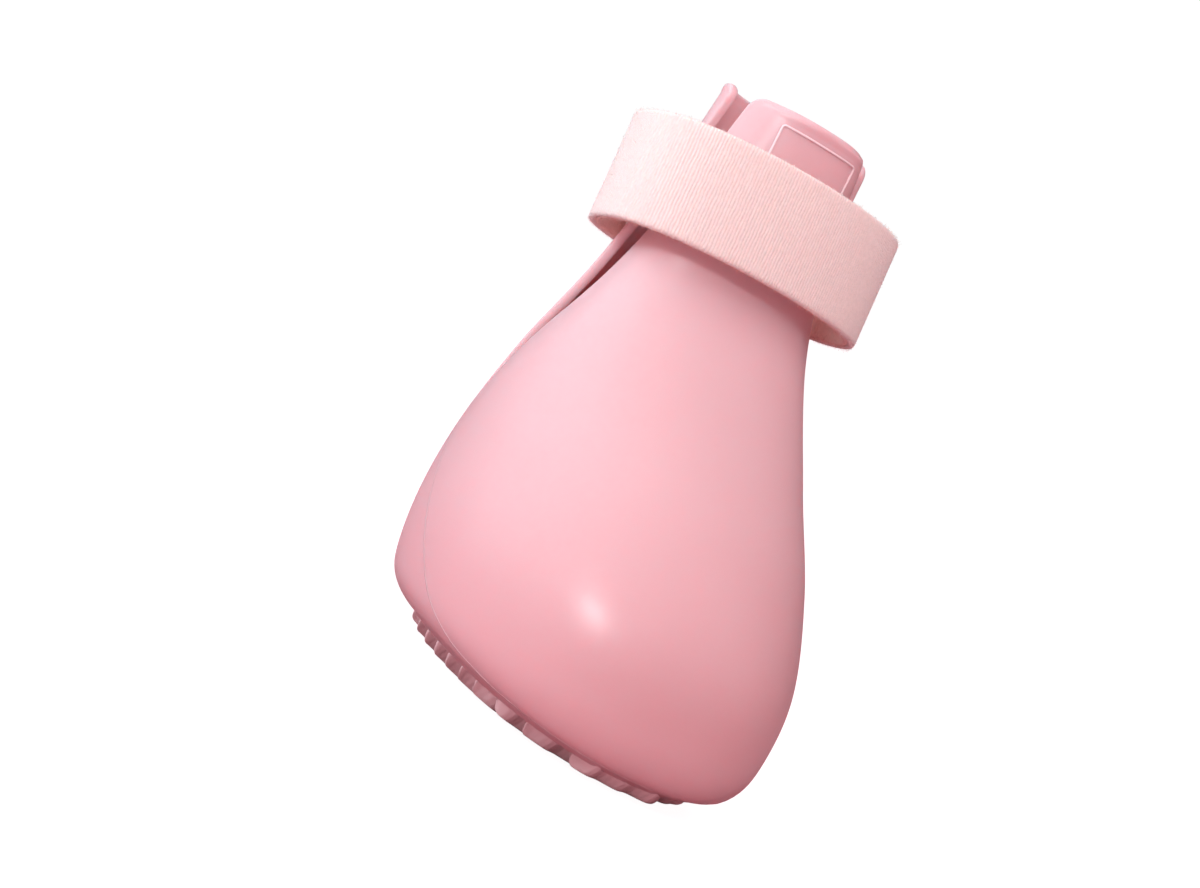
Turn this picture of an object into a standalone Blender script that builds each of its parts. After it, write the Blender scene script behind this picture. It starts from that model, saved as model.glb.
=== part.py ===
"""Dog boot moulded whole in soft silicone, with a loose hook and loop strap round its shaft.

Metres, +Z up. The boot stands on its tread and its toe points to -Y. The origin is the
middle of the tread, on the plane that the lugs stand on.
"""

import math

import bmesh
import bpy
import numpy as np

# Driving dimensions of the boot
HEIGHT = 0.108
FOOT_WIDTH = 0.070
FOOT_LENGTH = 0.0736
WALL = 0.0018
SOLE_WALL = 0.0034
GAP = 0.0003

# Outer sections from the underside of the sole to the collar.
# height: share of the way from the underside of the sole to the collar
# forward: centre of the section towards the toe, share of the foot length
# lean: degrees by which the section's front edge is raised
# half_width, half_depth: shares of the foot width and the foot length
# squareness: exponent of the superellipse, 2 is an ellipse
SECTION_COLUMNS = ("height", "forward", "lean", "half_width", "half_depth", "squareness")
SECTIONS = (
    (0.000, 0.000, 0.0, 0.386, 0.428, 2.30),
    (0.024, 0.009, 0.0, 0.436, 0.466, 2.24),
    (0.094, -0.010, 1.0, 0.486, 0.496, 2.17),
    (0.208, -0.054, 3.0, 0.500, 0.500, 2.10),
    (0.340, -0.143, 6.0, 0.466, 0.432, 2.10),
    (0.481, -0.238, 8.0, 0.404, 0.305, 2.15),
    (0.651, -0.312, 9.0, 0.312, 0.186, 2.20),
    (0.830, -0.353, 9.0, 0.251, 0.141, 2.25),
    (1.000, -0.380, 8.0, 0.220, 0.133, 2.25),
)
RINGS_PER_SECTION = 3
POINTS_AROUND = 56
SOLE_RING_SHARES = (0.35, 0.62, 0.84)
SHARP_EDGE = 35.0
THICK_SOLE_TOP = 0.10
THIN_WALL_FROM = 0.24

# Bead round the collar: distance below the rim and how far it stands out
BEAD_HEIGHT = 0.0016
BEAD_OUT = 0.0005
BEAD_STEPS = ((1.0, 0.0), (0.8, 1.0), (0.25, 1.0), (0.0, 0.4))

# Slit down each side that parts the front panel from the back panel
SLIT_WIDTH = 0.0028
SLIT_END_WIDTH = 0.0022
SLIT_END_HEIGHT = 0.382
SLIT_TOP_FORWARD = -0.346
SLIT_END_FORWARD = -0.348
SLIT_END_POINTS = 6

# Tread: wavy rows across the sole, broken by a raised paw
LUG_HEIGHT = 0.0020
LUG_ROOT = 0.0008
TREAD_WIDTH = 0.72 * FOOT_WIDTH
TREAD_LENGTH = 0.84 * FOOT_LENGTH
TREAD_SQUARENESS = 2.30
ROWS = 13
END_ROW_ROOM = 0.6
ROW_PITCH = TREAD_LENGTH / (ROWS - 1 + END_ROW_ROOM)
WAVE_LENGTH = TREAD_WIDTH / 8
WAVE_HEIGHT = 0.15 * ROW_PITCH
POINTS_PER_WAVE = 4
POINTED_END = 0.6 * WAVE_LENGTH
POINT_WIDTH = 0.15
# The sole is flat in its middle and curves up to the tread's edge at its sides, heel and toe
SOLE_FLAT = 0.42
SIDE_RISE = 0.0026
HEEL_RISE = 0.0036
TOE_RISE = 0.0010
RISE_FADES_AT = 2.0
# Row's cross-section towards the toe, in shares of the row pitch
LUG_ROOT_HEEL = -0.33
LUG_ROOT_TOE = 0.33
LUG_TIP_HEEL = -0.28
LUG_TIP_TOE = -0.04

# Rows that the paw breaks: row from the middle one, half width left free
PAW_BREAKS = ((-1, 0.145), (0, 0.185), (1, 0.210), (2, 0.135))
# Toe pads of the paw: across, towards the toe, half width, half length, turn in degrees
PAW_COLUMNS = ("across", "forward", "half_width", "half_length", "turn")
PAW_TOES = (
    (-0.150, 0.062, 0.033, 0.046, 18.0),
    (-0.058, 0.136, 0.033, 0.048, 7.0),
    (0.058, 0.136, 0.033, 0.048, -7.0),
    (0.150, 0.062, 0.033, 0.046, -18.0),
)
PAW_PAD_FORWARD = -0.030
PAW_PAD_HALF_WIDTH = 0.122
PAW_PAD_HALF_LENGTH = 0.075
PAW_PAD_NOTCH = 0.22
PAW_PAD_NOTCH_WIDTH = 0.45
PAW_PAD_TAPER = 0.22
PAW_POINTS = 22
PAD_DRAFT = 0.0003

# Strap: one tape wound round the shaft, its free end lapped over its start at the back
STRAP_WIDTH = 0.020
STRAP_THICKNESS = 0.0022
STRAP_BELOW_RIM = 0.0208
STRAP_LEAN = 13.5
STRAP_SIDE_ROOM = 0.0037
STRAP_SLACK = 0.0027
STRAP_SHIFT = 0.0010
STRAP_SQUARENESS = 2.0
STRAP_START = 232.0
STRAP_LAP_FROM = 586.0
STRAP_LIFT_FROM = 540.0
STRAP_END = 663.0
STRAP_FLARE_FROM = 644.0
STRAP_FLARE = 0.0012
STRAP_STEP = 4.0
STRAP_TANGENT_STEP = 0.5
SHAFT_SECTIONS = 3
SHAFT_SCAN_STEPS = 200
SCAN_STEPS = 40
HOOK_WIDTH = 0.016
HOOK_THICKNESS = 0.0009
HOOK_FROM = 596.0
HOOK_TO = 642.0


def clear_scene():
    for obj in list(bpy.data.objects):
        bpy.data.objects.remove(obj, do_unlink=True)


def make_collection(name):
    collection = bpy.data.collections.new(name)
    bpy.context.scene.collection.children.link(collection)
    return collection


def make_material(name, colour, roughness):
    material = bpy.data.materials.new(name)
    material.use_nodes = True
    shader = material.node_tree.nodes["Principled BSDF"]
    shader.inputs["Base Color"].default_value = (*colour, 1.0)
    shader.inputs["Roughness"].default_value = roughness
    shader.inputs["Metallic"].default_value = 0.0
    material.diffuse_color = (*colour, 1.0)
    return material


def mesh_object(name, bm, collection, material=None):
    bmesh.ops.recalc_face_normals(bm, faces=bm.faces)
    mesh = bpy.data.meshes.new(name)
    bm.to_mesh(mesh)
    bm.free()
    obj = bpy.data.objects.new(name, mesh)
    collection.objects.link(obj)
    mesh.shade_smooth()
    mesh.set_sharp_from_angle(angle=math.radians(SHARP_EDGE))
    if material:
        mesh.materials.append(material)
    return obj


def hide_cutter(obj):
    obj.hide_render = True
    obj.display_type = "WIRE"


def ease(value):
    value = min(max(value, 0.0), 1.0)
    return value * value * (3 - 2 * value)


def smooth_table(table, position):
    """Reads a table between its rows along a smooth curve through them."""
    rows = np.array(table)
    last = len(rows) - 1
    index = min(int(position), last - 1)
    t = position - index
    slopes = np.gradient(rows, axis=0)
    step = rows[index + 1] - rows[index]
    start = t * (1 - t) ** 2
    end = t * t * (t - 1)
    return rows[index] + ease(t) * step + start * slopes[index] + end * slopes[index + 1]


def section_at(position):
    """Section of the boot at a position in the table, with its sizes in metres."""
    section = dict(zip(SECTION_COLUMNS, smooth_table(SECTIONS, position)))
    section["height"] = LUG_HEIGHT + section["height"] * (HEIGHT - LUG_HEIGHT)
    section["forward"] *= FOOT_LENGTH
    section["half_width"] *= FOOT_WIDTH
    section["half_depth"] *= FOOT_LENGTH
    section["lean"] = math.radians(section["lean"])
    section["rise"] = 1 - ease(position / RISE_FADES_AT)
    return section


def superellipse(angle, squareness):
    c = math.cos(angle)
    s = math.sin(angle)
    across = math.copysign(abs(c) ** (2 / squareness), c)
    forward = math.copysign(abs(s) ** (2 / squareness), s)
    return across, forward


def sole_rise(x, forward):
    """How far the sole curves up from its flat middle, whole at the edge of the tread."""
    across = abs(x) / (TREAD_WIDTH / 2)
    along = abs(forward) / (TREAD_LENGTH / 2)
    reach = (across ** TREAD_SQUARENESS + along ** TREAD_SQUARENESS) ** (1 / TREAD_SQUARENESS)
    if reach <= SOLE_FLAT:
        return 0.0
    end_rise = TOE_RISE if forward > 0 else HEEL_RISE
    share = along ** 2 / (across ** 2 + along ** 2)
    edge_rise = SIDE_RISE * (1 - share) + end_rise * share
    return edge_rise * ((reach - SOLE_FLAT) / (1 - SOLE_FLAT)) ** 2


def section_point(section, angle, out=0.0, share=1.0, below=0.0):
    """Point of a section, optionally moved out, shrunk to its centre or moved down the shaft."""
    across, forward = superellipse(angle, section["squareness"])
    x = across * (section["half_width"] + out) * share
    depth = forward * (section["half_depth"] + out) * share
    lean = section["lean"]
    forward = section["forward"] + depth * math.cos(lean) + below * math.sin(lean)
    z = section["height"] + depth * math.sin(lean) - below * math.cos(lean)
    return (x, -forward, z + section["rise"] * sole_rise(x, forward))


def ring_angles():
    return [2 * math.pi * i / POINTS_AROUND for i in range(POINTS_AROUND)]


def boot_rings():
    """Rings of the outer surface from the middle of the sole to the rim, with their wall."""
    rings = []
    base = section_at(0)
    for share in SOLE_RING_SHARES:
        rings.append(([section_point(base, a, share=share) for a in ring_angles()], 1.0))
    count = (len(SECTIONS) - 1) * RINGS_PER_SECTION
    for i in range(count):
        section = section_at(i / RINGS_PER_SECTION)
        height = section["height"] / HEIGHT
        thin = (height - THICK_SOLE_TOP) / (THIN_WALL_FROM - THICK_SOLE_TOP)
        weight = 1 - min(max(thin, 0.0), 1.0)
        rings.append(([section_point(section, a) for a in ring_angles()], weight))
    rim = section_at(len(SECTIONS) - 1)
    for depth, out in BEAD_STEPS:
        ring = [section_point(rim, a, out=out * BEAD_OUT, below=depth * BEAD_HEIGHT) for a in ring_angles()]
        rings.append((ring, 0.0))
    return rings


def add_boot_skin(collection, material):
    """Open outer surface of the boot, closed under the sole and open at the collar."""
    bm = bmesh.new()
    layer = bm.verts.layers.deform.verify()
    centre = bm.verts.new((0.0, 0.0, LUG_HEIGHT))
    centre[layer][0] = 1.0
    previous = None
    for points, weight in boot_rings():
        ring = [bm.verts.new(p) for p in points]
        for vert in ring:
            vert[layer][0] = weight
        for i in range(POINTS_AROUND):
            j = (i + 1) % POINTS_AROUND
            if previous:
                bm.faces.new((previous[i], previous[j], ring[j], ring[i]))
            else:
                bm.faces.new((centre, ring[j], ring[i]))
        previous = ring
    obj = mesh_object("boot_shell", bm, collection, material)
    obj.vertex_groups.new(name="sole")
    solid = obj.modifiers.new("wall", "SOLIDIFY")
    solid.thickness = SOLE_WALL
    solid.offset = -1.0
    solid.use_even_offset = True
    solid.use_quality_normals = True
    solid.vertex_group = "sole"
    solid.thickness_vertex_group = WALL / SOLE_WALL
    return obj


def slit_outline():
    """Outline of the slit seen from the side, as (forward, height), round at its lower end."""
    top = np.array((SLIT_TOP_FORWARD * FOOT_LENGTH, HEIGHT))
    end = np.array((SLIT_END_FORWARD * FOOT_LENGTH, SLIT_END_HEIGHT * HEIGHT))
    along = (top - end) / np.linalg.norm(top - end)
    side = np.array((along[1], -along[0]))
    above = top + along * SLIT_WIDTH
    radius = SLIT_END_WIDTH / 2
    points = [above + side * SLIT_WIDTH / 2]
    for i in range(SLIT_END_POINTS + 1):
        turn = math.pi * i / SLIT_END_POINTS
        points.append(end + radius * (side * math.cos(turn) - along * math.sin(turn)))
    points.append(above - side * SLIT_WIDTH / 2)
    return points


def add_slit_cutter(collection):
    """Bar through both sides of the shaft."""
    bm = bmesh.new()
    face = bm.faces.new([bm.verts.new((-FOOT_WIDTH, -f, z)) for f, z in slit_outline()])
    grown = bmesh.ops.extrude_face_region(bm, geom=[face])
    verts = [g for g in grown["geom"] if isinstance(g, bmesh.types.BMVert)]
    bmesh.ops.translate(bm, vec=(2 * FOOT_WIDTH, 0, 0), verts=verts)
    obj = mesh_object("slit_cutter", bm, collection)
    hide_cutter(obj)
    return obj


def row_spans(row):
    """Stretches of a row of the tread that are there, as (from, to) across the sole."""
    forward = row * ROW_PITCH
    left = 1 - abs(2 * forward / TREAD_LENGTH) ** TREAD_SQUARENESS
    half = TREAD_WIDTH / 2 * left ** (1 / TREAD_SQUARENESS)
    free = dict(PAW_BREAKS).get(row, 0.0) * TREAD_WIDTH
    if free > 0:
        return [(-half, -free), (free, half)]
    return [(-half, half)]


def add_row_piece(bm, row, start, end):
    """One wavy lug: a strip whose section keeps its form and narrows at both ends."""
    count = max(3, round((end - start) / WAVE_LENGTH * POINTS_PER_WAVE))
    root_z = LUG_HEIGHT + LUG_ROOT
    profile = (
        (LUG_ROOT_HEEL, root_z),
        (LUG_ROOT_TOE, root_z),
        (LUG_TIP_TOE, 0.0),
        (LUG_TIP_HEEL, 0.0),
    )
    middle = (LUG_TIP_HEEL + LUG_TIP_TOE) / 2
    previous = None
    for i in range(count + 1):
        x = start + (end - start) * i / count
        wave = WAVE_HEIGHT * math.cos(2 * math.pi * x / WAVE_LENGTH)
        narrow = min(1.0, POINT_WIDTH + min(x - start, end - x) / POINTED_END)
        ring = []
        for across, z in profile:
            forward = row * ROW_PITCH + wave + (middle + (across - middle) * narrow) * ROW_PITCH
            ring.append(bm.verts.new((x, -forward, z + sole_rise(x, forward))))
        add_strip_ring(bm, previous, ring)
        previous = ring
    bm.faces.new(previous)


def add_strip_ring(bm, previous, ring):
    """Joins a ring of a strip to the one before it, or closes the strip's start."""
    if previous is None:
        bm.faces.new(ring)
        return
    for k in range(len(ring)):
        m = (k + 1) % len(ring)
        bm.faces.new((previous[k], previous[m], ring[m], ring[k]))


def paw_outlines():
    """Outlines of the paw's main pad and its four toes, as (across, forward)."""
    outlines = []
    pad = []
    for i in range(PAW_POINTS):
        turn = 2 * math.pi * i / PAW_POINTS
        across, forward = math.cos(turn), math.sin(turn)
        heel_side = max(0.0, -forward)
        notch = PAW_PAD_NOTCH * heel_side * math.exp(-(across / PAW_PAD_NOTCH_WIDTH) ** 2)
        narrow = 1 - PAW_PAD_TAPER * max(0.0, forward)
        pad.append((
            PAW_PAD_HALF_WIDTH * TREAD_WIDTH * across * narrow,
            PAW_PAD_FORWARD * TREAD_LENGTH + PAW_PAD_HALF_LENGTH * TREAD_LENGTH * (forward + notch),
        ))
    outlines.append(pad)
    for row in PAW_TOES:
        toe = dict(zip(PAW_COLUMNS, row))
        tilt = math.radians(toe["turn"])
        outline = []
        for i in range(PAW_POINTS // 2):
            turn = 4 * math.pi * i / PAW_POINTS
            across = toe["half_width"] * TREAD_WIDTH * math.cos(turn)
            forward = toe["half_length"] * TREAD_WIDTH * math.sin(turn)
            outline.append((
                toe["across"] * TREAD_WIDTH + across * math.cos(tilt) - forward * math.sin(tilt),
                toe["forward"] * TREAD_LENGTH + across * math.sin(tilt) + forward * math.cos(tilt),
            ))
        outlines.append(outline)
    return outlines


def add_pad(bm, outline):
    """One raised pad of the paw, a little narrower at its tip than at its root."""
    centre = np.mean(outline, axis=0)
    rings = []
    for z, shrink in ((LUG_HEIGHT + LUG_ROOT, 0.0), (0.0, PAD_DRAFT)):
        ring = []
        for point in outline:
            away = np.array(point) - centre
            size = np.linalg.norm(away)
            x, forward = centre + away * (size - shrink) / size
            ring.append(bm.verts.new((x, -forward, z)))
        rings.append(ring)
    root, tip = rings
    for i in range(len(outline)):
        j = (i + 1) % len(outline)
        bm.faces.new((root[i], root[j], tip[j], tip[i]))
    bm.faces.new(root)
    bm.faces.new(tip)


def add_tread(collection):
    """All lugs and paw pads, with their roots inside the sole."""
    bm = bmesh.new()
    middle = ROWS // 2
    for row in range(-middle, middle + 1):
        for start, end in row_spans(row):
            add_row_piece(bm, row, start, end)
    for outline in paw_outlines():
        add_pad(bm, outline)
    obj = mesh_object("tread_lugs", bm, collection)
    hide_cutter(obj)
    return obj


def add_boolean(obj, name, operation, other):
    modifier = obj.modifiers.new(name, "BOOLEAN")
    modifier.operation = operation
    modifier.solver = "EXACT"
    modifier.object = other


def make_boot(parts, cutters):
    silicone = make_material("pink_silicone", (0.86, 0.52, 0.55), 0.42)
    boot = add_boot_skin(parts, silicone)
    add_boolean(boot, "slits", "DIFFERENCE", add_slit_cutter(cutters))
    add_boolean(boot, "tread", "UNION", add_tread(cutters))
    return boot


def strap_frame():
    """Centre of the strap on the shaft's line, its forward direction and its up direction."""
    lean = math.radians(STRAP_LEAN)
    height = HEIGHT - STRAP_BELOW_RIM * math.cos(lean)
    low = 0.0
    high = len(SECTIONS) - 1.0
    for _ in range(SCAN_STEPS):
        position = (low + high) / 2
        if section_at(position)["height"] < height:
            low = position
        else:
            high = position
    section = section_at(low)
    centre = np.array((STRAP_SHIFT, -section["forward"], section["height"]))
    forward = np.array((0.0, -math.cos(lean), math.sin(lean)))
    up = np.array((0.0, math.sin(lean), math.cos(lean)))
    return centre, forward, up


def shaft_in_strap():
    """Points of the shaft inside the strap, as (across, forward) from the strap's centre."""
    centre, forward, up = strap_frame()
    rim = len(SECTIONS) - 1
    points = []
    for i in range(SHAFT_SCAN_STEPS + 1):
        section = section_at(rim - SHAFT_SECTIONS * i / SHAFT_SCAN_STEPS)
        for angle in ring_angles():
            away = np.array(section_point(section, angle)) - centre
            if abs(away @ up) <= STRAP_WIDTH / 2 + GAP:
                points.append((away[0], away @ forward))
    return points


def strap_loop():
    """Half width of the loop's inner face and its depths in front of and behind the centre."""
    points = shaft_in_strap()
    half_width = max(abs(across) for across, _ in points) + STRAP_SIDE_ROOM
    front = 0.0
    back = 0.0
    for across, forward in points:
        room = 1 - (abs(across) / half_width) ** STRAP_SQUARENESS
        depth = forward / room ** (1 / STRAP_SQUARENESS)
        front = max(front, depth)
        back = max(back, -depth)
    return half_width, front + GAP + STRAP_SLACK, back + GAP


def strap_offset(angle):
    """Extra distance from the loop: the free end lies over the start and its tip stands off."""
    lift = STRAP_THICKNESS + HOOK_THICKNESS + 2 * GAP
    lapped = lift * ease((angle - STRAP_LIFT_FROM) / (STRAP_LAP_FROM - STRAP_LIFT_FROM))
    return lapped + STRAP_FLARE * ease((angle - STRAP_FLARE_FROM) / (STRAP_END - STRAP_FLARE_FROM))


def loop_point(angle, half_width, front, back, out):
    """Point of the loop at a distance outside its inner face, as (across, forward)."""
    places = []
    for step in (-STRAP_TANGENT_STEP, STRAP_TANGENT_STEP):
        turn = math.radians(angle + step)
        across, forward = superellipse(turn, STRAP_SQUARENESS)
        depth = front if forward > 0 else back
        places.append(np.array((across * half_width, forward * depth)))
    along = places[1] - places[0]
    outward = np.array((along[1], -along[0])) / np.linalg.norm(along)
    return (places[0] + places[1]) / 2 + outward * out


def add_tape(name, start, end, near, far, width, collection, material):
    """Closed strip of tape along the loop between two distances outside its inner face."""
    centre, forward, up = strap_frame()
    half_width, front, back = strap_loop()
    count = round((end - start) / STRAP_STEP)
    bm = bmesh.new()
    previous = None
    for i in range(count + 1):
        angle = start + (end - start) * i / count
        ring = []
        for out, side in ((near, -1), (far, -1), (far, 1), (near, 1)):
            x, depth = loop_point(angle, half_width, front, back, out + strap_offset(angle))
            point = centre + np.array((x, 0.0, 0.0)) + forward * depth + up * side * width / 2
            ring.append(bm.verts.new(point))
        add_strip_ring(bm, previous, ring)
        previous = ring
    bm.faces.new(previous)
    return mesh_object(name, bm, collection, material)


def make_strap(parts):
    loop_tape = make_material("peach_loop_tape", (0.93, 0.66, 0.60), 0.95)
    hook_tape = make_material("coral_hook_tape", (0.86, 0.48, 0.42), 0.90)
    add_tape("strap", STRAP_START, STRAP_END, 0.0, STRAP_THICKNESS, STRAP_WIDTH, parts, loop_tape)
    near = -GAP - HOOK_THICKNESS
    add_tape("hook_patch", HOOK_FROM, HOOK_TO, near, -GAP, HOOK_WIDTH, parts, hook_tape)


def main():
    clear_scene()
    parts = make_collection("dog_boot")
    cutters = make_collection("cutters")
    make_boot(parts, cutters)
    make_strap(parts)


main()
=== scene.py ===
"""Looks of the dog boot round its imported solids: silicone skin, tread, strap and a white studio.

Metres, +Z up, toe to -Y. The form's sizes are those of the part's source, apart from the collar's bead,
which is softer here.
"""

import math

import bmesh
import bpy
import numpy as np
from mathutils import Matrix, Vector


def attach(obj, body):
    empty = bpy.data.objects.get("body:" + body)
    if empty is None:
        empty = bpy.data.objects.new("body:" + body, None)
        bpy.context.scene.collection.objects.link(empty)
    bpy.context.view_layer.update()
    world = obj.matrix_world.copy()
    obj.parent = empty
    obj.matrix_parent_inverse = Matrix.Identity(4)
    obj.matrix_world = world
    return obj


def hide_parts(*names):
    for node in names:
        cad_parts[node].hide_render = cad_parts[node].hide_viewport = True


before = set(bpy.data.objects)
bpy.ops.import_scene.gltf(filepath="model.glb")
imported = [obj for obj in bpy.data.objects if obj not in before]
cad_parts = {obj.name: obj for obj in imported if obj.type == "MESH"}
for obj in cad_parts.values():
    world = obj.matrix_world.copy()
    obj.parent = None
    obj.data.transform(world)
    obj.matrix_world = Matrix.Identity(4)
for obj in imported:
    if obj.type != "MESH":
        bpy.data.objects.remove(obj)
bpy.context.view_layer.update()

# Form of the boot, as in the part's source: lengths in metres, angles in degrees
HEIGHT = 0.108
FOOT_WIDTH = 0.070
FOOT_LENGTH = 0.0736
WALL = 0.0018
SOLE_WALL = 0.0034
GAP = 0.0003

# Outer sections from the underside of the sole to the collar.
# height: share of the way from the underside of the sole to the collar
# forward: centre of the section towards the toe, share of the foot length
# lean: degrees by which the section's front edge is raised
# half_width, half_depth: shares of the foot width and the foot length
# squareness: exponent of the superellipse, 2 is an ellipse
SECTION_COLUMNS = ("height", "forward", "lean", "half_width", "half_depth", "squareness")
SECTIONS = (
    (0.000, 0.000, 0.0, 0.386, 0.428, 2.30),
    (0.024, 0.009, 0.0, 0.436, 0.466, 2.24),
    (0.094, -0.010, 1.0, 0.486, 0.496, 2.17),
    (0.208, -0.054, 3.0, 0.500, 0.500, 2.10),
    (0.340, -0.143, 6.0, 0.466, 0.432, 2.10),
    (0.481, -0.238, 8.0, 0.404, 0.305, 2.15),
    (0.651, -0.312, 9.0, 0.312, 0.186, 2.20),
    (0.830, -0.353, 9.0, 0.251, 0.141, 2.25),
    (1.000, -0.380, 8.0, 0.220, 0.133, 2.25),
)
LAST = len(SECTIONS) - 1
# Shares of the height between which the thick sole thins to the wall
THICK_SOLE_TOP = 0.10
THIN_WALL_FROM = 0.24
BEAD_HEIGHT = 0.0016

# Slit down each side: widths in metres, height in shares of the boot's, places in shares of the foot length
SLIT_WIDTH = 0.0028
SLIT_END_WIDTH = 0.0022
SLIT_END_HEIGHT = 0.382
SLIT_TOP_FORWARD = -0.346
SLIT_END_FORWARD = -0.348

# Tread and the sole's rise from its flat middle
LUG_HEIGHT = 0.0020
LUG_ROOT = 0.0008
TREAD_WIDTH = 0.72 * FOOT_WIDTH
TREAD_LENGTH = 0.84 * FOOT_LENGTH
TREAD_SQUARENESS = 2.30
SOLE_FLAT = 0.42
SIDE_RISE = 0.0026
HEEL_RISE = 0.0036
TOE_RISE = 0.0010
RISE_FADES_AT = 2.0

# Strap and hook patch: lengths in metres, lean and places along the wound tape in degrees
STRAP_WIDTH = 0.020
STRAP_THICKNESS = 0.0022
STRAP_BELOW_RIM = 0.0208
STRAP_LEAN = 13.5
STRAP_SIDE_ROOM = 0.0037
STRAP_SLACK = 0.0027
STRAP_SHIFT = 0.0010
STRAP_SQUARENESS = 2.0
STRAP_START = 232.0
STRAP_LAP_FROM = 586.0
STRAP_LIFT_FROM = 540.0
STRAP_END = 663.0
STRAP_FLARE_FROM = 644.0
STRAP_FLARE = 0.0012
HOOK_WIDTH = 0.016
HOOK_THICKNESS = 0.0009
HOOK_FROM = 596.0
HOOK_TO = 642.0

# Wavy rows of the tread. Each break is a row and its free half width at the paw, in shares of the
# tread's width.
ROWS = 13
END_ROW_ROOM = 0.6
ROW_PITCH = TREAD_LENGTH / (ROWS - 1 + END_ROW_ROOM)
WAVE_LENGTH = TREAD_WIDTH / 8
WAVE_HEIGHT = 0.15 * ROW_PITCH
POINTED_END = 0.6 * WAVE_LENGTH
POINT_WIDTH = 0.15
PAW_BREAKS = ((-1, 0.145), (0, 0.185), (1, 0.210), (2, 0.135))
# Paw's toes and main pad in shares of the tread's width or length, turn in degrees
PAW_COLUMNS = ("across", "forward", "half_width", "half_length", "turn")
PAW_TOES = (
    (-0.150, 0.062, 0.033, 0.046, 18.0),
    (-0.058, 0.136, 0.033, 0.048, 7.0),
    (0.058, 0.136, 0.033, 0.048, -7.0),
    (0.150, 0.062, 0.033, 0.046, -18.0),
)
PAW_PAD_FORWARD = -0.030
PAW_PAD_HALF_WIDTH = 0.122
PAW_PAD_HALF_LENGTH = 0.075
PAW_PAD_NOTCH = 0.22
PAW_PAD_NOTCH_WIDTH = 0.45
PAW_PAD_TAPER = 0.22

# Skin of the boot
FRONT_COLUMNS = 104
BACK_COLUMNS = 104
SLIT_COLUMNS = 10
SOLE_RINGS = 16
RING_SPACING = 0.0009
FINE_SPACING = 0.0003
EDGE_ROUND = 0.0006
EDGE_STEPS = 8
CORNER_RADIUS = 0.0028
EDGE_BULGE = 0.7
# The front panel's sides are tucked in and the back one's flared. Both grow from the slit's end upwards,
# over TUCK_RISE of the height.
TUCK = 0.0019
TUCK_REACH = 0.0062
TUCK_RISE = 0.35
FLARE_OUT = 0.0004
BEAD_OUT = 0.0002
BEAD_FADE = 0.0030
# Shares of the bead's height from the rim at which it ends, and over which it blends into the wall
BEAD_ENDS = 1.25
BEAD_BLEND = 0.5
# Distance from the rim or the slit's end within which rings lie closer, and rings that sag to its end
CLOSE_REACH = 0.006
SLIT_END_RINGS = 12
# Rings above the sole's edge that take the grid's own normals
GRID_NORMAL_RINGS = 3
# Numbers of places that the scans along the form look at, and the angle of the side that spaces the rings
SLIT_SCAN = 1201
WALL_SCAN = 2001
ARC_SCAN = 241
STRAP_SCAN = 4001
LOOP_SCAN = (201, 361)
TAPE_SCAN = 1601
END_HALVINGS = 40
SIDE_ANGLE = 0.3
# Marks the columns of a panel in the table of places across a ring
PANEL_MARK = 10


def ease(value):
    """Smooth step from 0 to 1."""
    value = np.clip(value, 0.0, 1.0)
    return value * value * (3 - 2 * value)


def table_at(position):
    """Rows of the section table read along a smooth curve, lengths in metres."""
    rows = np.array(SECTIONS)
    position = np.asarray(position, float)
    index = np.clip(position.astype(int), 0, LAST - 1)
    t = (position - index)[..., None]
    slopes = np.gradient(rows, axis=0)
    step = rows[index + 1] - rows[index]
    start = t * (1 - t) ** 2
    end = t * t * (t - 1)
    value = rows[index] + t * t * (3 - 2 * t) * step + start * slopes[index] + end * slopes[index + 1]
    section = {name: value[..., i] for i, name in enumerate(SECTION_COLUMNS)}
    section["height"] = LUG_HEIGHT + section["height"] * (HEIGHT - LUG_HEIGHT)
    section["forward"] = section["forward"] * FOOT_LENGTH
    section["half_width"] = section["half_width"] * FOOT_WIDTH
    section["half_depth"] = section["half_depth"] * FOOT_LENGTH
    section["lean"] = np.radians(section["lean"])
    return section


def superellipse(angle, squareness):
    """Places across and along a superellipse of half size one."""
    c = np.cos(angle)
    s = np.sin(angle)
    return np.sign(c) * np.abs(c) ** (2 / squareness), np.sign(s) * np.abs(s) ** (2 / squareness)


def run_along(points):
    """Distance along a line of points, from its start."""
    return np.r_[0, np.cumsum(np.linalg.norm(np.diff(points, axis=0), axis=1))]


def unit(vectors):
    """The vectors' directions, with length one."""
    return vectors / np.maximum(np.linalg.norm(vectors, axis=-1, keepdims=True), 1e-12)


def sole_rise(x, forward):
    """How far the sole curves up from its flat middle."""
    across = np.abs(x) / (TREAD_WIDTH / 2)
    along = np.abs(forward) / (TREAD_LENGTH / 2)
    reach = (across ** TREAD_SQUARENESS + along ** TREAD_SQUARENESS) ** (1 / TREAD_SQUARENESS)
    share = along ** 2 / np.maximum(across ** 2 + along ** 2, 1e-9)
    edge = SIDE_RISE * (1 - share) + np.where(forward > 0, TOE_RISE, HEEL_RISE) * share
    return edge * (np.maximum(reach - SOLE_FLAT, 0) / (1 - SOLE_FLAT)) ** 2


def surface(position, angle, share=1.0):
    """Points of the boot's outer form at positions in the table and angles round it."""
    s = table_at(position)
    across, forward = superellipse(angle, s["squareness"])
    depth = forward * s["half_depth"] * share
    x = across * s["half_width"] * share
    f = s["forward"] + depth * np.cos(s["lean"])
    z = s["height"] + depth * np.sin(s["lean"])
    z = z + sole_rise(x, f) * (1 - ease(np.asarray(position, float) / RISE_FADES_AT))
    return np.stack([x, -f, z], -1)


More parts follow.
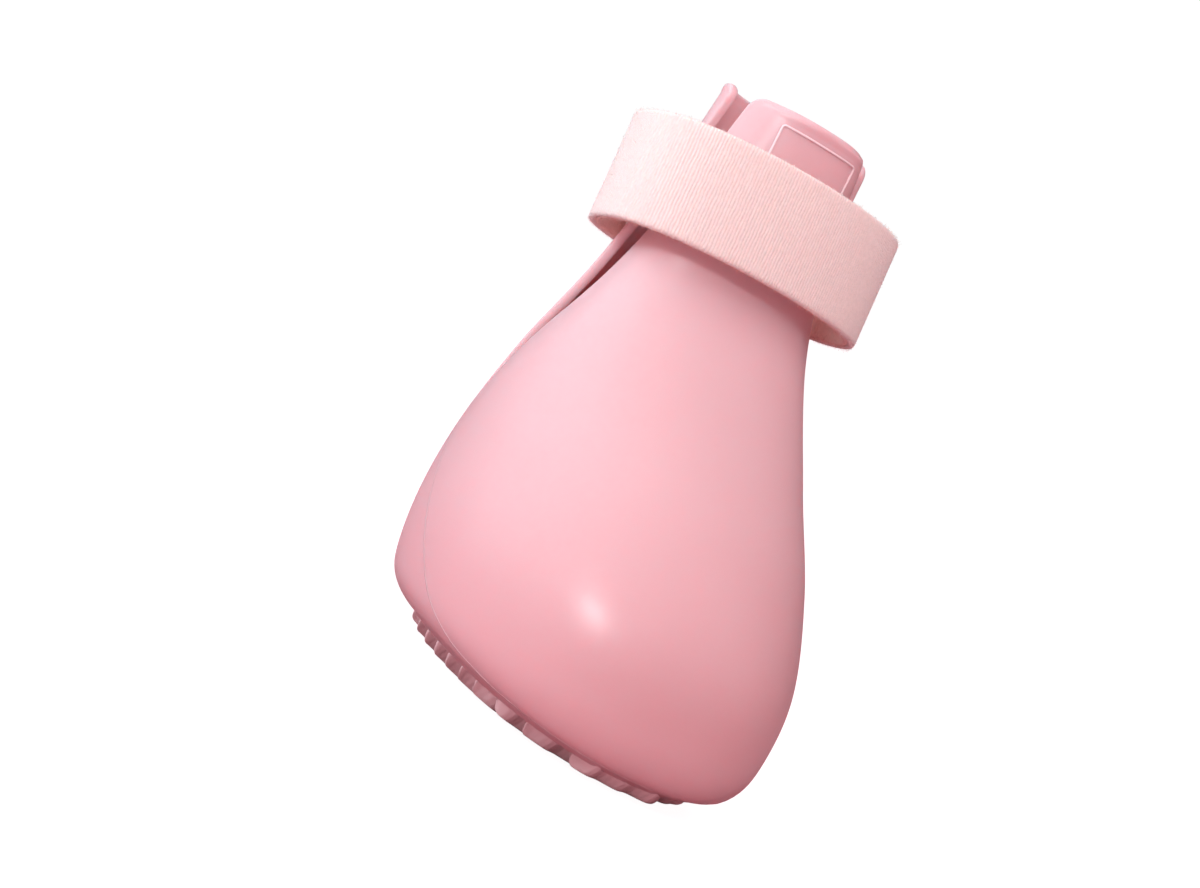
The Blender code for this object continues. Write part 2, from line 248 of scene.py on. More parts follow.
def slit_line(z):
    """Forward place of the slit's middle at a height."""
    end = SLIT_END_HEIGHT * HEIGHT
    share = (z - end) / (HEIGHT - end)
    return (SLIT_END_FORWARD + (SLIT_TOP_FORWARD - SLIT_END_FORWARD) * share) * FOOT_LENGTH


def slit_angles(position, half_width):
    """Angles of the slit's back and front edge on the +X side at a position."""
    angles = np.radians(np.linspace(-85, 85, SLIT_SCAN))
    points = surface(np.full(len(angles), position), angles)
    offset = -points[:, 1] - slit_line(points[:, 2])
    back, front = np.interp([-half_width, half_width], offset, angles)
    return back, front


def slit_end_position():
    """Position in the section table at which the slit ends."""
    low, high = 2.0, 7.0
    for _ in range(END_HALVINGS):
        middle = (low + high) / 2
        back, front = slit_angles(middle, 0.0001)
        z = surface(np.array([middle]), np.array([(back + front) / 2]))[0, 2]
        low, high = (middle, high) if z < SLIT_END_HEIGHT * HEIGHT else (low, middle)
    return low


def wall_positions():
    """Positions of the rings, closer at the slit's end and at the rim."""
    fine = np.linspace(0, LAST, WALL_SCAN)
    side = surface(fine, np.full(len(fine), SIDE_ANGLE))
    run = run_along(side)
    end = slit_end_position()
    at_end = np.interp(end, fine, run)
    stops = [0.0]
    while stops[-1] < run[-1] - EDGE_ROUND:
        here = stops[-1]
        near_rim = ease((run[-1] - here) / CLOSE_REACH)
        near_end = ease(abs(here - at_end) / CLOSE_REACH)
        stops.append(here + FINE_SPACING + (RING_SPACING - FINE_SPACING) * min(near_rim, near_end))
    stops = np.array(stops[:-1] + [run[-1] - EDGE_ROUND])
    k = int(np.abs(stops - at_end).argmin())
    stops[k] = at_end
    return np.interp(stops, run, fine), run[-1] - stops, k


def ring_columns(position, back, front):
    """Angles round one ring, panel and slit by turns, and the place of each column across its own.

    In a slit the place runs from -1 to 1. On a panel it is the distance to the nearer slit plus a mark.
    """
    turn = 2 * math.pi
    arcs = (
        (front, math.pi - front, FRONT_COLUMNS, False),
        (math.pi - front, math.pi - back, SLIT_COLUMNS, True),
        (math.pi - back, turn + back, BACK_COLUMNS, False),
        (turn + back, turn + front, SLIT_COLUMNS, True),
    )
    angles = []
    across = []
    for start, end, count, is_slit in arcs:
        dense = np.linspace(start, end, ARC_SCAN)
        points = surface(np.full(len(dense), position), dense)
        run = run_along(points)
        steps = np.arange(count) / count
        if is_slit:
            steps = (1 - np.cos(math.pi * steps)) / 2
        angles += list(np.interp(steps * run[-1], run, dense))
        if is_slit:
            across += list(2 * steps - 1)
        else:
            across += list(np.minimum(steps, 1 - steps) * run[-1] + PANEL_MARK)
    return angles, across


def grid_normals(points):
    """Normals of a grid that closes on itself in its second direction."""
    around = np.roll(points, -1, 1) - np.roll(points, 1, 1)
    along = np.gradient(points, axis=0)
    return unit(np.cross(along, around))


def surface_normals(position, angle):
    """Outward normals of the boot's outer form."""
    step = 0.003
    around = surface(position, angle + step) - surface(position, angle - step)
    up = surface(position + step, angle) - surface(position - step, angle)
    return unit(np.cross(up, around))


def ring_slit_half(up, to_rim):
    """Half width of the slit at a share of its length, wider where the collar's corners are round."""
    half = (SLIT_END_WIDTH + (SLIT_WIDTH - SLIT_END_WIDTH) * up) / 2 + EDGE_ROUND
    corner = CORNER_RADIUS - EDGE_ROUND
    left = max(0.0, corner - (to_rim - EDGE_ROUND))
    return half + corner - math.sqrt(max(corner ** 2 - left ** 2, 0.0))


def round_slit_end(pos, ang, across, end_ring):
    """Lowers the slit's columns at its end, so that the end is round."""
    in_slit = across[end_ring] <= 1
    drop = (SLIT_END_WIDTH / 2 + EDGE_ROUND) * np.sqrt(np.clip(1 - across[end_ring] ** 2, 0, 1))
    step = 1e-3
    end = pos[end_ring, 0]
    z = surface(np.array([end - step, end]), np.array([ang[end_ring, 0]] * 2))[:, 2]
    per_metre = step / (z[1] - z[0])
    for k in range(end_ring - SLIT_END_RINGS, end_ring + 1):
        fade = ease((k - end_ring + SLIT_END_RINGS) / SLIT_END_RINGS)
        pos[k] -= np.where(in_slit, drop * per_metre * fade, 0)


def panel_shift(points, across, to_rim):
    """How far each place moves outwards: front panel tucked in, back one flared, both beaded."""
    count = across.shape[1]
    column = np.arange(count)
    back_start = FRONT_COLUMNS + SLIT_COLUMNS
    is_front = column <= FRONT_COLUMNS
    is_back = (column >= back_start) & (column <= back_start + BACK_COLUMNS)
    panel_distance = np.where(across > 1, across - PANEL_MARK, 0)
    near = np.exp(-(panel_distance / TUCK_REACH) ** 2)
    up = ease((points[..., 2] - SLIT_END_HEIGHT * HEIGHT) / (TUCK_RISE * HEIGHT))
    shift = -TUCK * near * up * is_front + FLARE_OUT * near * up * is_back
    rim = to_rim[:, None] * np.ones(count)
    bead = ease((BEAD_HEIGHT * BEAD_ENDS - rim) / (BEAD_HEIGHT * BEAD_BLEND))
    return shift + BEAD_OUT * bead * (1 - np.exp(-(panel_distance / BEAD_FADE) ** 2))


def boot_grid():
    """Outer surface as a grid of rings and columns, with what each place needs."""
    positions, to_rim, end_ring = wall_positions()
    end_back, end_front = slit_angles(positions[end_ring], SLIT_END_WIDTH / 2 + EDGE_ROUND)
    pos, ang, across = [], [], []
    for k, position in enumerate(positions):
        if k <= end_ring:
            back, front = end_back, end_front
        else:
            up = (positions[k] - positions[end_ring]) / (LAST - positions[end_ring])
            back, front = slit_angles(position, ring_slit_half(up, to_rim[k]))
        angles, places = ring_columns(position, back, front)
        pos.append(np.full(len(angles), position))
        ang.append(angles)
        across.append(places)
    pos = np.array(pos)
    ang = np.array(ang)
    across = np.array(across)
    round_slit_end(pos, ang, across, end_ring)
    points = surface(pos, ang)
    normals = surface_normals(pos, ang)
    points = points + normals * panel_shift(points, across, to_rim)[..., None]
    return points, normals, to_rim, end_ring, ang[0]


def skin_mesh(grid):
    """Vertices and faces of the hollow boot, with its slits and rounded edges."""
    wall, wall_normals, _, end_ring, base_angles = grid
    count = wall.shape[1]
    shares = np.linspace(0, 1, SOLE_RINGS + 1)[1:-1]
    sole = []
    for share in shares:
        ring = surface(np.zeros(count), base_angles, share=share)
        ring[:, 2] = LUG_HEIGHT + sole_rise(ring[:, 0], -ring[:, 1])
        sole.append(ring)
    grid = np.concatenate([np.array(sole), wall])
    normals = grid_normals(grid)
    normals[len(shares) + GRID_NORMAL_RINGS:] = wall_normals[GRID_NORMAL_RINGS:]
    end_ring += len(shares)
    height = grid[..., 2] / HEIGHT
    thin = np.clip((height - THICK_SOLE_TOP) / (THIN_WALL_FROM - THICK_SOLE_TOP), 0, 1)
    thickness = SOLE_WALL + (WALL - SOLE_WALL) * thin
    inner = grid - normals * thickness[..., None]
    centre = np.array([[0, 0, LUG_HEIGHT], [0, 0, LUG_HEIGHT + SOLE_WALL]])
    rings = len(grid)
    vertices = [grid.reshape(-1, 3), inner.reshape(-1, 3), centre]
    offset = rings * count
    faces = []
    column = np.arange(count)
    first_slit = (column >= FRONT_COLUMNS) & (column < FRONT_COLUMNS + SLIT_COLUMNS)
    is_slit = first_slit | (column >= FRONT_COLUMNS + SLIT_COLUMNS + BACK_COLUMNS)
    for k in range(rings - 1):
        for j in range(count):
            if is_slit[j] and k >= end_ring:
                continue
            m = (j + 1) % count
            outer_face = (k * count + j, k * count + m, (k + 1) * count + m, (k + 1) * count + j)
            faces.append(outer_face)
            faces.append(tuple(offset + v for v in reversed(outer_face)))
    for j in range(count):
        m = (j + 1) % count
        faces.append((2 * offset, m, j))
        faces.append((2 * offset + 1, offset + j, offset + m))
    # One edge runs along both rims, down both slits and round their ends
    loop = edge_loop(rings, count, end_ring)
    base = 2 * offset + 2
    flat = [part.reshape(-1, 3) for part in (grid, inner, normals)]
    rounded, strips = rounded_edge(*flat, loop, base, offset)
    vertices.append(rounded)
    faces += strips
    return np.concatenate(vertices), faces


def edge_loop(rings, count, end_ring):
    """Grid indices along the open edge, in order."""
    last = rings - 1
    a = FRONT_COLUMNS
    b = FRONT_COLUMNS + SLIT_COLUMNS
    c = FRONT_COLUMNS + SLIT_COLUMNS + BACK_COLUMNS
    loop = [(last, j) for j in range(0, a + 1)]
    loop += [(k, a) for k in range(last - 1, end_ring, -1)]
    loop += [(end_ring, j) for j in range(a, b + 1)]
    loop += [(k, b) for k in range(end_ring + 1, last)]
    loop += [(last, j) for j in range(b, c + 1)]
    loop += [(k, c) for k in range(last - 1, end_ring, -1)]
    loop += [(end_ring, j % count) for j in range(c, count + 1)]
    loop += [(k, 0) for k in range(end_ring + 1, last)]
    return [k * count + j for k, j in loop]


def rounded_edge(outer, inner, normals, loop, base, offset):
    """Half-round strip that joins the outer and the inner surface along the open edge."""
    ids = np.array(loop)
    o = outer[ids]
    i = inner[ids]
    n = normals[ids]
    along = unit(np.roll(o, -1, 0) - np.roll(o, 1, 0))
    out = unit(np.cross(along, n))
    for _ in range(2):
        out = unit(out + 0.5 * (np.roll(out, 1, 0) + np.roll(out, -1, 0)))
    middle = (o + i) / 2
    rows = []
    for step in range(1, EDGE_STEPS):
        turn = math.pi * step / EDGE_STEPS
        bulge = math.sin(turn) ** EDGE_BULGE
        rows.append(middle + (o - middle) * math.cos(turn) + out * EDGE_ROUND * bulge)
    count = len(ids)
    faces = []
    for step in range(EDGE_STEPS):
        for m in range(count):
            p = (m + 1) % count
            row = []
            for s, q in ((step, m), (step, p), (step + 1, p), (step + 1, m)):
                if s == 0:
                    row.append(int(ids[q]))
                elif s == EDGE_STEPS:
                    row.append(int(ids[q]) + offset)
                else:
                    row.append(base + (s - 1) * count + q)
            faces.append(tuple(row))
    return np.concatenate(rows), faces


def add_mesh(name, vertices, faces, material):
    """Object from the vertices that its faces use, with its faces turned outwards."""
    mesh = bpy.data.meshes.new(name)
    used = np.unique(np.concatenate([np.array(f) for f in faces]))
    renumber = np.full(len(vertices), -1)
    renumber[used] = np.arange(len(used))
    kept_faces = [[int(renumber[v]) for v in face] for face in faces]
    mesh.from_pydata(np.asarray(vertices)[used].tolist(), [], kept_faces)
    mesh.validate()
    bm = bmesh.new()
    bm.from_mesh(mesh)
    bmesh.ops.recalc_face_normals(bm, faces=bm.faces)
    bm.to_mesh(mesh)
    bm.free()
    mesh.update()
    obj = bpy.data.objects.new(name, mesh)
    bpy.context.scene.collection.objects.link(obj)
    mesh.materials.append(material)
    mesh.shade_smooth()
    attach(obj, "root")
    return obj


def make_skin(material, grid):
    """Dense skin in place of the boot's solid."""
    vertices, faces = skin_mesh(grid)
    skin = add_mesh("boot_skin", vertices, faces, material)
    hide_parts("boot_shell")


# Materials
# Between these heights the silicone's colour goes from the darker, redder painted shade of the foot to the
# paler painted light of the shaft
FOOT_SHADE_TO = 0.015
SHAFT_LIGHT_FROM = 0.085
FOOT_SHADE_TINT = (0.97, 0.88, 0.89)
SHAFT_LIGHT_TINT = (1.06, 1.13, 1.13)
# Height of the cloth's grain against that of its weave
GRAIN_SHARE = 1.6


def new_material(name):
    """Material with its tree and its shader."""
    material = bpy.data.materials.new(name)
    material.use_nodes = True
    return material, material.node_tree, material.node_tree.nodes["Principled BSDF"]


def set_inputs(node, values):
    """Sets a node's inputs by name."""
    for name, value in values.items():
        node.inputs[name].default_value = value


def add_noise(tree, vector, scale, detail):
    """Noise over a vector output."""
    noise = tree.nodes.new("ShaderNodeTexNoise")
    set_inputs(noise, {"Scale": scale, "Detail": detail})
    tree.links.new(vector, noise.inputs["Vector"])
    return noise.outputs["Fac"]


def add_range(tree, value, from_low, from_high, to_low, to_high):
    """Linear change of a value's range."""
    node = tree.nodes.new("ShaderNodeMapRange")
    set_inputs(node, {"From Min": from_low, "From Max": from_high, "To Min": to_low, "To Max": to_high})
    tree.links.new(value, node.inputs["Value"])
    return node.outputs["Result"]


def add_mix(tree, blend, factor, first, second):
    """Colour mix. Each of the last three is an output to link or a constant."""
    node = tree.nodes.new("ShaderNodeMix")
    node.data_type = "RGBA"
    node.blend_type = blend
    for name, value in (("Factor", factor), ("A", first), ("B", second)):
        if isinstance(value, bpy.types.NodeSocket):
            tree.links.new(value, node.inputs[name])
        else:
            node.inputs[name].default_value = value
    return node.outputs["Result"]


def add_bump(tree, height, strength, distance, shader):
    """Bump of a height into a shader's normal."""
    bump = tree.nodes.new("ShaderNodeBump")
    set_inputs(bump, {"Strength": strength, "Distance": distance})
    tree.links.new(height, bump.inputs["Height"])
    tree.links.new(bump.outputs["Normal"], shader.inputs["Normal"])


def add_part(tree, vector, axis):
    """One axis of a vector output."""
    split = tree.nodes.new("ShaderNodeSeparateXYZ")
    tree.links.new(vector, split.inputs["Vector"])
    return split.outputs[axis]


def silicone_material(name, light, dark, scatter):
    """Satin rubber. The small raised pieces scatter no light, because they would look dark."""
    material, tree, shader = new_material(name)
    place = tree.nodes.new("ShaderNodeTexCoord").outputs["Object"]
    ramp = tree.nodes.new("ShaderNodeValToRGB")
    for stop, position, colour in zip(ramp.color_ramp.elements, (0.35, 0.68), (dark, light)):
        stop.position = position
        stop.color = (*colour, 1)
    tree.links.new(add_noise(tree, place, scale=22.0, detail=3.0), ramp.inputs["Fac"])
    # Painted shade low on the foot and painted light up the shaft, blended by height
    height = add_range(tree, add_part(tree, place, "Z"), FOOT_SHADE_TO, SHAFT_LIGHT_FROM, 0.0, 1.0)
    light_and_shade_tint = add_mix(tree, "MIX", height, (*FOOT_SHADE_TINT, 1), (*SHAFT_LIGHT_TINT, 1))
    painted_light_colour = add_mix(tree, "MULTIPLY", 1.0, ramp.outputs["Color"], light_and_shade_tint)
    tree.links.new(painted_light_colour, shader.inputs["Base Color"])
    grain = add_noise(tree, place, scale=900.0, detail=4.0)
    add_bump(tree, grain, strength=0.05, distance=0.0002, shader=shader)
    set_inputs(shader, {
        "Roughness": 0.33,
        "Specular IOR Level": 0.8,
        "Subsurface Weight": scatter,
        "Subsurface Radius": (1.0, 0.30, 0.28),
        "Subsurface Scale": 0.004,
    })
    return material


def cloth_material(name, colour, inner_colour):
    """Matt fibre cloth that takes a second colour where the point attribute inner is one."""
    material, tree, shader = new_material(name)
    place = tree.nodes.new("ShaderNodeTexCoord").outputs["Object"]
    side = tree.nodes.new("ShaderNodeAttribute")
    side.attribute_name = "inner"
    base = add_mix(tree, "MIX", side.outputs["Fac"], (*colour, 1), (*inner_colour, 1))
    patches = add_noise(tree, place, scale=1500.0, detail=3.0)
    speckle = add_range(tree, patches, from_low=0.3, from_high=0.7, to_low=0.96, to_high=1.04)
    tree.links.new(add_mix(tree, "MULTIPLY", 1.0, base, speckle), shader.inputs["Base Color"])
    uv = tree.nodes.new("ShaderNodeUVMap")
    uv.uv_map = "tape"
    weave = tree.nodes.new("ShaderNodeTexWave")
    set_inputs(weave, {"Scale": 560.0, "Distortion": 2.5, "Detail": 2.0})
    tree.links.new(uv.outputs["UV"], weave.inputs["Vector"])
    height = tree.nodes.new("ShaderNodeMath")
    height.operation = "MULTIPLY_ADD"
    tree.links.new(add_noise(tree, place, scale=1900.0, detail=3.0), height.inputs[0])
    height.inputs[1].default_value = GRAIN_SHARE
    tree.links.new(weave.outputs["Fac"], height.inputs[2])
    add_bump(tree, height.outputs["Value"], strength=0.45, distance=0.00022, shader=shader)
    set_inputs(shader, {
        "Roughness": 0.95,
        "Specular IOR Level": 0.15,
        "Sheen Weight": 0.35,
        "Sheen Roughness": 0.5,
        "Subsurface Weight": 0.3,
        "Subsurface Radius": (1.0, 0.5, 0.4),
        "Subsurface Scale": 0.0012,
    })
    return material


# Tread
LUG_STEP = WAVE_LENGTH / 24
RIBS_PER_WAVE = 6
RIB_DEPTH = 0.00024
# Share of a rib's length at which it is deepest
RIB_TOP = 0.75
LUG_END_ROUND = 0.0013
LUG_END_HEIGHT = 0.30
PAD_ROUND = 0.0005
PAD_POINTS = 72
# Lug's section from its heel side to its toe side: place in shares of the pitch, height from the
# floor in shares of the lug's height, and how far the ribs of the slanted face reach into it
LUG_COLUMNS = ("place", "height", "ribs")
LUG_SECTION = (
    (-0.40, 1.30, 0.0),
    (-0.36, 0.92, 0.0),
    (-0.315, 0.42, 0.0),
    (-0.275, 0.12, 0.0),
    (-0.215, 0.00, 0.0),
    (-0.125, 0.00, 0.1),
    (-0.065, 0.10, 0.5),
    (0.00, 0.26, 0.9),
    (0.09, 0.50, 1.0),
    (0.18, 0.76, 1.0),
    (0.255, 0.98, 0.8),
    (0.33, 1.35, 0.2),
)


def row_spans(row):
    """Stretches of a row of the tread that are there, as (from, to) across the sole."""
    forward = row * ROW_PITCH
    left = 1 - abs(2 * forward / TREAD_LENGTH) ** TREAD_SQUARENESS
    half = TREAD_WIDTH / 2 * left ** (1 / TREAD_SQUARENESS)
    free = dict(PAW_BREAKS).get(row, 0.0) * TREAD_WIDTH
    if free > 0:
        return [(-half, -free), (free, half)]
    return [(-half, half)]


def lug_mesh(row, start, end):
    """One wavy lug with a soft crest on its heel side and a ribbed slanted face to the toe."""
    section = dict(zip(LUG_COLUMNS, np.array(LUG_SECTION).T))
    crest = section["place"][section["height"] == 0.0].mean()
    count = max(6, round((end - start) / LUG_STEP))
    x = np.linspace(start, end, count + 1)
    wave = WAVE_HEIGHT * np.cos(2 * math.pi * x / WAVE_LENGTH)
    narrow = np.minimum(1.0, POINT_WIDTH + np.minimum(x - start, end - x) / POINTED_END)
    rib = (x / WAVE_LENGTH * RIBS_PER_WAVE) % 1.0
    rib = np.minimum(rib / RIB_TOP, (1 - rib) / (1 - RIB_TOP)) * RIB_DEPTH
    place = crest + np.outer(narrow, section["place"] - crest)
    f = row * ROW_PITCH + wave[:, None] + place * ROW_PITCH + np.outer(rib * narrow, section["ribs"])
    xs = np.repeat(x[:, None], len(LUG_SECTION), axis=1)
    inward = np.clip(np.minimum(x - start, end - x) / LUG_END_ROUND, 0, 1)
    tall = LUG_END_HEIGHT + (1 - LUG_END_HEIGHT) * np.sqrt(1 - (1 - inward) ** 2)
    z = (1 - np.outer(tall, 1 - section["height"])) * LUG_HEIGHT + sole_rise(xs, f)
    return grid_faces(np.stack([xs, -f, z], -1))


def grid_faces(points):
    """Vertices and faces of an open grid, closed by a face at each end."""
    rows, columns = points.shape[:2]
    faces = []
    for i in range(rows - 1):
        for j in range(columns - 1):
            a = i * columns + j
            faces.append((a, a + 1, a + columns + 1, a + columns))
    faces.append(tuple(range(columns)))
    last = (rows - 1) * columns
    faces.append(tuple(last + j for j in reversed(range(columns))))
    return points.reshape(-1, 3), faces


def pad_outlines():
    """Outlines of the paw's main pad and its four toes, across and forward."""
    turn = 2 * math.pi * np.arange(PAD_POINTS) / PAD_POINTS
    across, forward = np.cos(turn), np.sin(turn)
    notch = PAW_PAD_NOTCH * np.maximum(0, -forward) * np.exp(-(across / PAW_PAD_NOTCH_WIDTH) ** 2)
    narrow = 1 - PAW_PAD_TAPER * np.maximum(0, forward)
    outlines = [np.stack([
        PAW_PAD_HALF_WIDTH * TREAD_WIDTH * across * narrow,
        PAW_PAD_FORWARD * TREAD_LENGTH + PAW_PAD_HALF_LENGTH * TREAD_LENGTH * (forward + notch),
    ], -1)]
    for row in PAW_TOES:
        toe = dict(zip(PAW_COLUMNS, row))
        tilt = math.radians(toe["turn"])
        a = toe["half_width"] * TREAD_WIDTH * across
        f = toe["half_length"] * TREAD_WIDTH * forward
        outlines.append(np.stack([
            toe["across"] * TREAD_WIDTH + a * math.cos(tilt) - f * math.sin(tilt),
            toe["forward"] * TREAD_LENGTH + a * math.sin(tilt) + f * math.cos(tilt),
        ], -1))
    return outlines


def pad_mesh(outline):
    """One raised pad of the paw with a flat face and a round edge."""
    centre = outline.mean(axis=0)
    away = outline - centre
    size = np.linalg.norm(away, axis=1, keepdims=True)
    rings = [(0.0, LUG_HEIGHT + LUG_ROOT), (0.0, PAD_ROUND)]
    for step in (22, 45, 67, 90):
        turn = math.radians(step)
        rings.append((PAD_ROUND * (1 - math.cos(turn)), PAD_ROUND * (1 - math.sin(turn))))
    vertices = []
    for shrink, z in rings:
        places = centre + away * (size - shrink) / size
        vertices.append(np.column_stack([places[:, 0], -places[:, 1], np.full(len(places), z)]))
    count = len(outline)
    faces = []
    for k in range(len(rings) - 1):
        for i in range(count):
            j = (i + 1) % count
            faces.append((k * count + i, k * count + j, (k + 1) * count + j, (k + 1) * count + i))
    faces.append(tuple((len(rings) - 1) * count + i for i in range(count)))
    return np.concatenate(vertices), faces


def join(pieces):
    """Several lists of vertices and faces as one."""
    vertices, faces, offset = [], [], 0
    for part_vertices, part_faces in pieces:
        vertices.append(np.asarray(part_vertices))
        faces += [tuple(v + offset for v in f) for f in part_faces]
        offset += len(part_vertices)
    return np.concatenate(vertices), faces


def make_tread(material):
    """Wavy rows and the paw, sunk a little into the skin."""
    pieces = []
    middle = ROWS // 2
    for row in range(-middle, middle + 1):
        for start, end in row_spans(row):
            pieces.append(lug_mesh(row, start, end))
    for outline in pad_outlines():
        pieces.append(pad_mesh(outline))
    vertices, faces = join(pieces)
    add_mesh("tread_lugs", vertices, faces, material)


# Raised lines on the skin
FRAME_WIDTH = 0.0164
FRAME_TOP = 0.0030
FRAME_LENGTH = 0.0250
FRAME_LINE = 0.00055
FRAME_RAISE = 0.00028
FRAME_CORNER = 0.0005
FRAME_STEPS = 260
# Parting line from a slit's end to the toe: degrees round the boot, place in the section table
PARTING_COLUMNS = ("angle", "position")
PARTING = (
    (-26.0, 4.10),
    (-12.0, 3.15),
    (4.0, 2.10),
    (20.0, 1.25),
    (38.0, 0.80),
    (60.0, 0.62),
    (90.0, 0.58),
)
PARTING_LINE = 0.0003
PARTING_RAISE = 0.00005
PARTING_STEPS = 400
PARTING_SMOOTHING = 60
# Section of a raised line: across in shares of its width, up in shares of its height
RIDGE = ((-0.5, -0.35), (-0.36, 0.25), (-0.16, 0.85), (0.16, 0.85), (0.36, 0.25), (0.5, -0.35))


def line_mesh(points, normals, width, raised, closed=False):
    """Low ridge with a half-round section along points on the skin."""
    if closed:
        along = np.roll(points, -1, 0) - np.roll(points, 1, 0)
    else:
        along = np.gradient(points, axis=0)
    side = np.cross(normals, unit(along))
    rows = [points + side * width * across + normals * raised * up for across, up in RIDGE]
    vertices = np.stack(rows, 1)
    count, columns = vertices.shape[:2]
    faces = []
    for i in range(count if closed else count - 1):
        for j in range(columns):
            k = (j + 1) % columns
            here, there = i * columns, ((i + 1) % count) * columns
            faces.append((here + j, there + j, there + k, here + k))
    return vertices.reshape(-1, 3), faces


def on_front_panel(grid, x, below):
    """Point and normal of the front panel at a place across it and below the rim."""
    points, normals, to_rim, _, _ = grid
    columns = np.arange(FRONT_COLUMNS + 1)
    found = []
    for k in np.argsort(np.abs(to_rim - below))[:2]:
        ring = points[k, columns]
        place = np.interp(-x, -ring[:, 0], columns)
        low = int(min(place, FRONT_COLUMNS - 1))
        t = place - low
        point = points[k, low] * (1 - t) + points[k, low + 1] * t
        normal = normals[k, low] * (1 - t) + normals[k, low + 1] * t
        found.append((to_rim[k], point, normal))
    (r0, p0, normal), (r1, p1, _) = found
    t = (below - r0) / (r1 - r0)
    return p0 + (p1 - p0) * t, normal


def make_label_frame(material, grid):
    """Blank raised frame on the front panel."""
    half = FRAME_WIDTH / 2
    bottom = FRAME_TOP + FRAME_LENGTH
    c = FRAME_CORNER
    corners = []
    turns = ((half, FRAME_TOP, -90), (half, bottom, 0), (-half, bottom, 90), (-half, FRAME_TOP, 180))
    for x, y, start in turns:
        for degrees in (0, 30, 60, 90):
            turn = math.radians(start + degrees)
            cx = x - math.copysign(c, x)
            cy = y + (c if y == FRAME_TOP else -c)
            corners.append((cx + c * math.cos(turn), cy + c * math.sin(turn)))
    outline = np.array(corners + corners[:1])
    run = run_along(outline)
    stops = np.unique(np.r_[np.linspace(0, run[-1], FRAME_STEPS)[:-1], run[:-1]])
    places = np.column_stack([np.interp(stops, run, outline[:, 0]), np.interp(stops, run, outline[:, 1])])
    found = [on_front_panel(grid, x, y) for x, y in places]
    points = np.array([f[0] for f in found])
    normals = np.array([f[1] for f in found])
    normals *= np.sign((normals @ np.array((0.0, -1.0, 0.0))))[:, None]
    vertices, faces = line_mesh(points, normals, FRAME_LINE, FRAME_RAISE, closed=True)
    add_mesh("label_frame", vertices, faces, material)


def make_parting_line(material):
    """Fine line that the mould leaves from each slit to the toe.

    It is laid facing inwards, so that only the edges of its section stand out of the skin.
    """
    table = dict(zip(PARTING_COLUMNS, np.array(PARTING).T))
    angle = np.linspace(table["angle"][0], table["angle"][-1], PARTING_STEPS)
    position = np.interp(angle, table["angle"], table["position"])
    for _ in range(PARTING_SMOOTHING):
        position[1:-1] = (position[:-2] + 2 * position[1:-1] + position[2:]) / 4
    angle = np.r_[angle, 180 - angle[-2::-1]]
    position = np.r_[position, position[-2::-1]]
    turn = np.radians(angle)
    points = surface(position, turn)
    step = 0.01
    around = surface(position, turn + step) - points
    up = surface(position + step, turn) - points
    normals = unit(np.cross(around, up))
    vertices, faces = line_mesh(points, normals, PARTING_LINE, PARTING_RAISE)
    add_mesh("parting_line", vertices, faces, material)


# Strap
def strap_frame():
    """Centre of the strap's loop with its forward and its upward direction."""
    lean = math.radians(STRAP_LEAN)
    height = HEIGHT - STRAP_BELOW_RIM * math.cos(lean)
    fine = np.linspace(LAST - 4, LAST, STRAP_SCAN)
    position = np.interp(height, table_at(fine)["height"], fine)
    section = table_at(np.array([position]))
    centre = np.array((STRAP_SHIFT, -section["forward"][0], section["height"][0]))
    forward = np.array((0.0, -math.cos(lean), math.sin(lean)))
    up = np.array((0.0, math.sin(lean), math.cos(lean)))
    return centre, forward, up


def strap_loop():
    """Half width of the loop's inner face and its depths in front of and behind the centre."""
    centre, forward, up = strap_frame()
    rings, turns = LOOP_SCAN
    positions, angles = np.meshgrid(np.linspace(LAST - 3, LAST, rings), np.linspace(0, 2 * math.pi, turns))
    away = surface(positions.ravel(), angles.ravel()) - centre
    away = away[np.abs(away @ up) < STRAP_WIDTH / 2 + GAP]
    half_width = np.abs(away[:, 0]).max() + STRAP_SIDE_ROOM
    room = 1 - (np.abs(away[:, 0]) / half_width) ** STRAP_SQUARENESS
    depth = (away @ forward) / room ** (1 / STRAP_SQUARENESS)
    return half_width, depth.max() + GAP + STRAP_SLACK, -depth.min() + GAP


def strap_offset(angle):
    """How far the tape's free end stands off the tape under it."""
    lift = STRAP_THICKNESS + HOOK_THICKNESS + 2 * GAP
    lapped = lift * ease((angle - STRAP_LIFT_FROM) / (STRAP_LAP_FROM - STRAP_LIFT_FROM))
    return lapped + STRAP_FLARE * ease((angle - STRAP_FLARE_FROM) / (STRAP_END - STRAP_FLARE_FROM))


def loop_points(angle, out):
    """Points of the loop's middle line and their outward direction, in the strap's own plane."""
    half_width, front, back = strap_loop()
    places = []
    for step in (-0.5, 0.5):
        across, forward = superellipse(np.radians(angle + step), STRAP_SQUARENESS)
        places.append(np.stack([across * half_width, forward * np.where(forward > 0, front, back)], -1))
    along = places[1] - places[0]
    outward = unit(np.stack([along[:, 1], -along[:, 0]], -1))
    return (places[0] + places[1]) / 2 + outward * (out + strap_offset(angle))[:, None], outward


